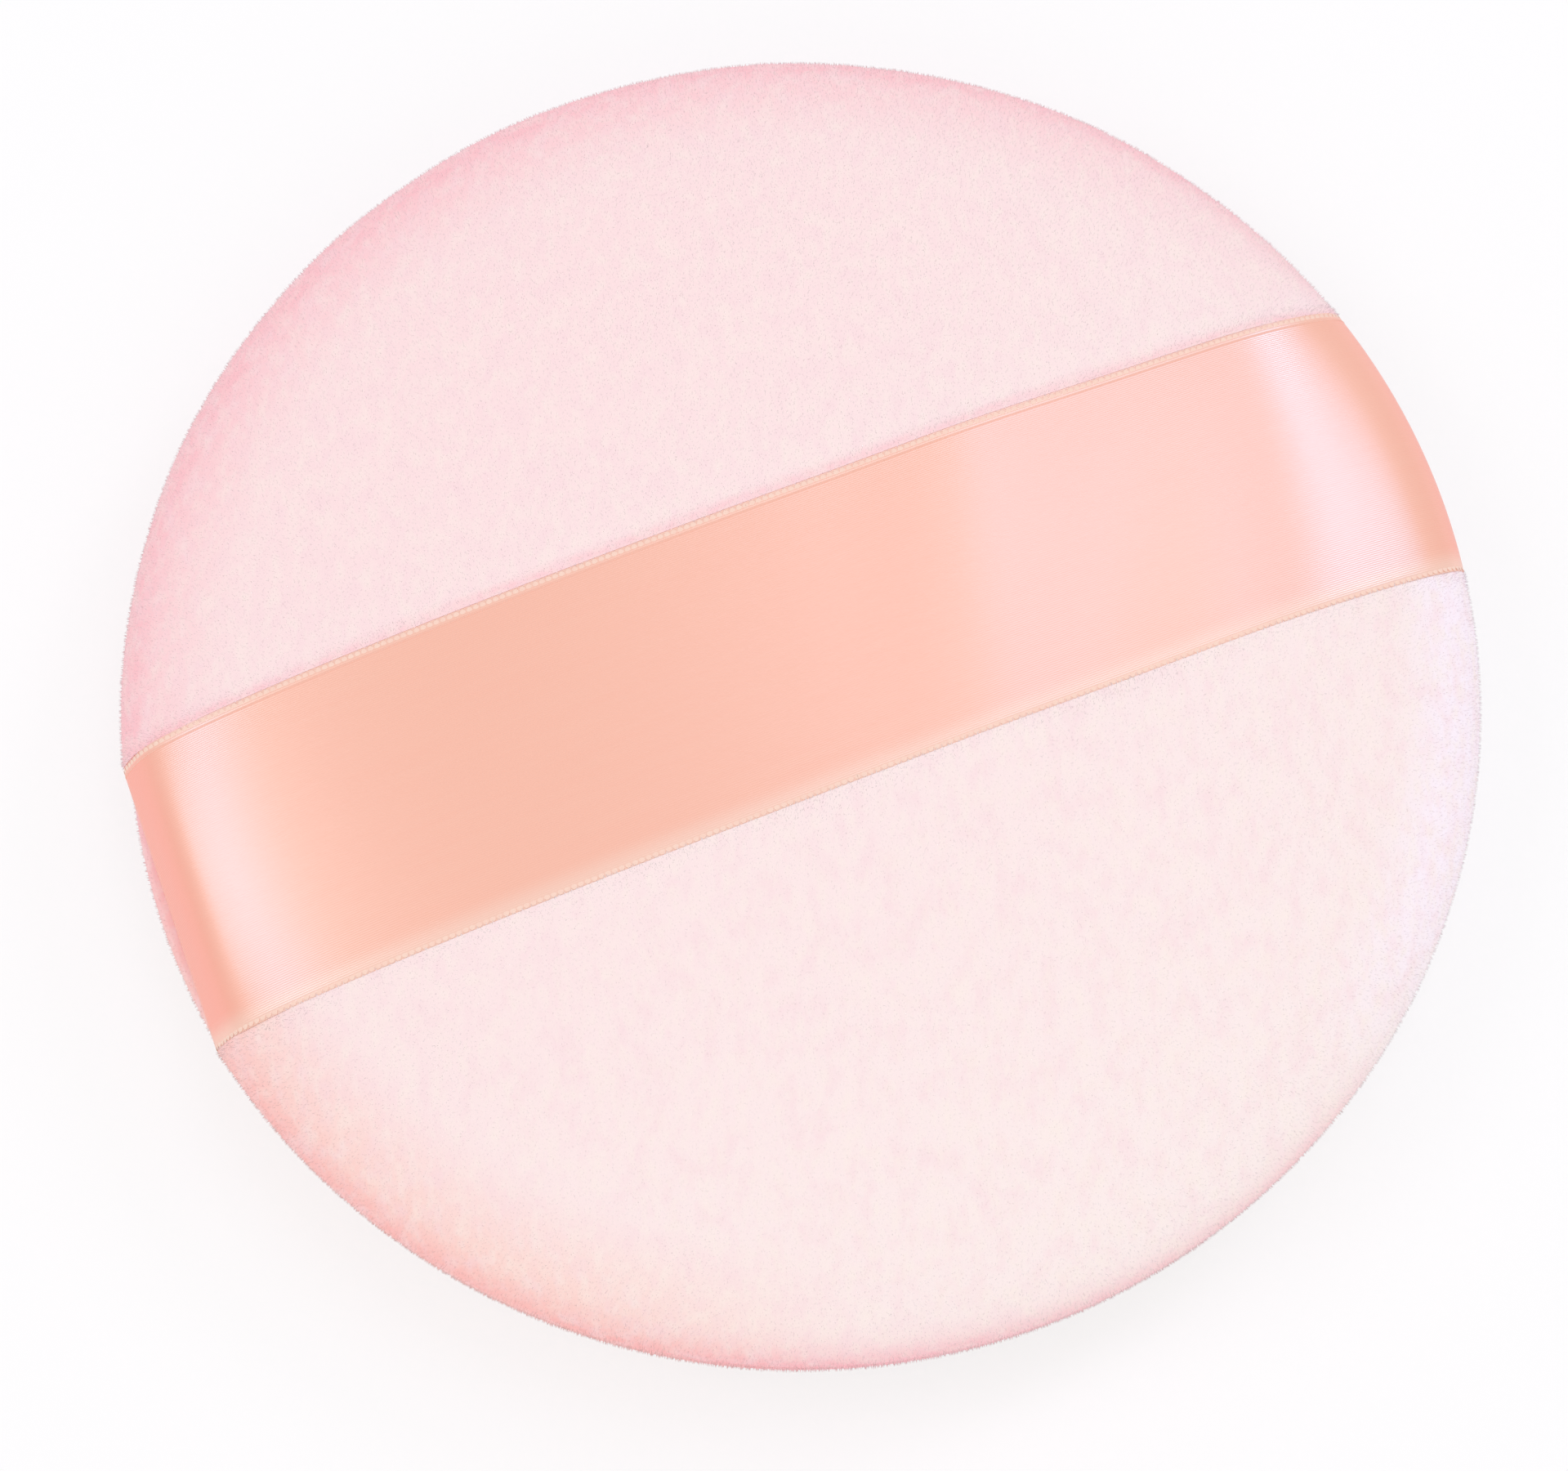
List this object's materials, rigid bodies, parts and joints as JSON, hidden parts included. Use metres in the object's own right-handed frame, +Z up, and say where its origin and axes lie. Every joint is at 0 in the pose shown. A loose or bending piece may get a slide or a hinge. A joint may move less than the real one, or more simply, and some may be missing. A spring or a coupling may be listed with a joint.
{
  "type": "powder puff",
  "caption": "Round velour powder puff: two sewn covers over a foam core, with a satin ribbon strap across the back that lifts for the fingers.",
  "frame": {"origin": "centre of the flat face that the puff rests on", "axes": "+Z up through the crown to the ribbon side, +X along the ribbon"},
  "size_m": [0.09, 0.09, 0.0164],
  "materials": {
    "velour": "short soft pile",
    "satin": "satin weave with a woven edge",
    "foam": "open-cell foam",
    "thread": "spun sewing thread"
  },
  "bodies": {
    "pad": {"upper_cover": "velour", "lower_cover": "velour", "foam_core": "foam", "ribbon_end_left": "satin", "ribbon_end_right": "satin", "seam_thread": "thread", "closing_thread": "thread"},
    "strap": {"ribbon_band": "satin"}
  },
  "joints": [
    {"name": "strap_lift", "type": "slide", "parent": "pad", "child": "strap", "axis": [0, 0, 1], "range_m": [0, 0.007]}
  ]
}
